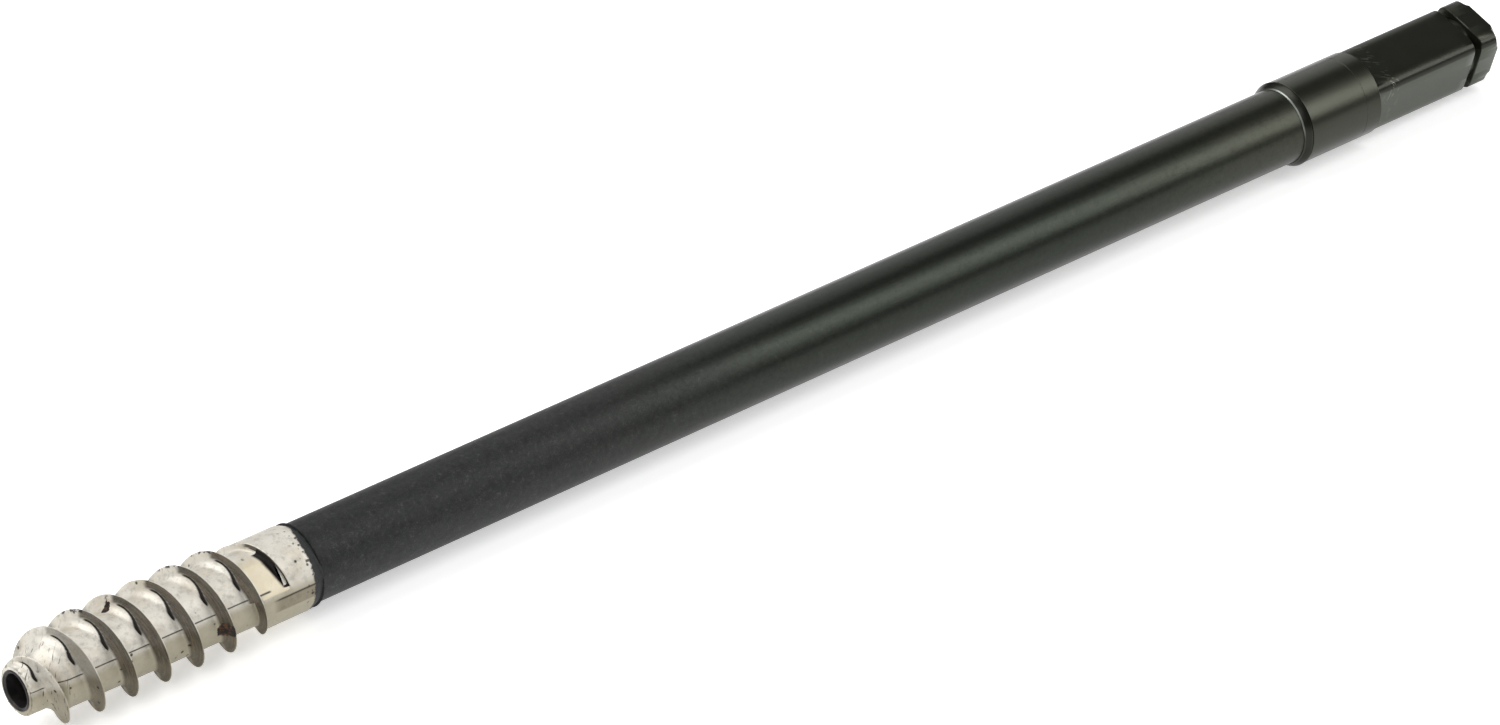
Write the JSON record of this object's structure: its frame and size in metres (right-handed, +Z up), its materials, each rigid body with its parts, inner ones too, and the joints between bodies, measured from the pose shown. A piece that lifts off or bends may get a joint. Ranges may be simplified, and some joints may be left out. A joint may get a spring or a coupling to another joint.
{
  "type": "ice screw",
  "caption": "Long hollow ice screw: a cast tip with a two-start right-hand thread, a plain black shaft and a collar with a grooved square drive.",
  "frame": {"origin": "centre of the mouth in the nose, on the screw's axis", "axes": "+X along the screw from the nose to the drive end; +Z up with the screw lying down; the top drive flat faces nearly up"},
  "size_m": [0.3748, 0.0197, 0.0196],
  "materials": {
    "cast_alloy": "as cast, satin",
    "core_black": "black oxide",
    "shaft_black": "satin black oxide",
    "drive_black": "satin black oxide",
    "plain_steel": "machined"
  },
  "bodies": {
    "root": {"screw_casting": "cast_alloy", "core_tube": "core_black", "tip_mandrel": "plain_steel", "shaft_tube": "shaft_black", "drive_sleeve": "drive_black", "mouth_ring": "drive_black", "drive_shank": "drive_black", "locking_dowels": "plain_steel"}
  },
  "joints": []
}
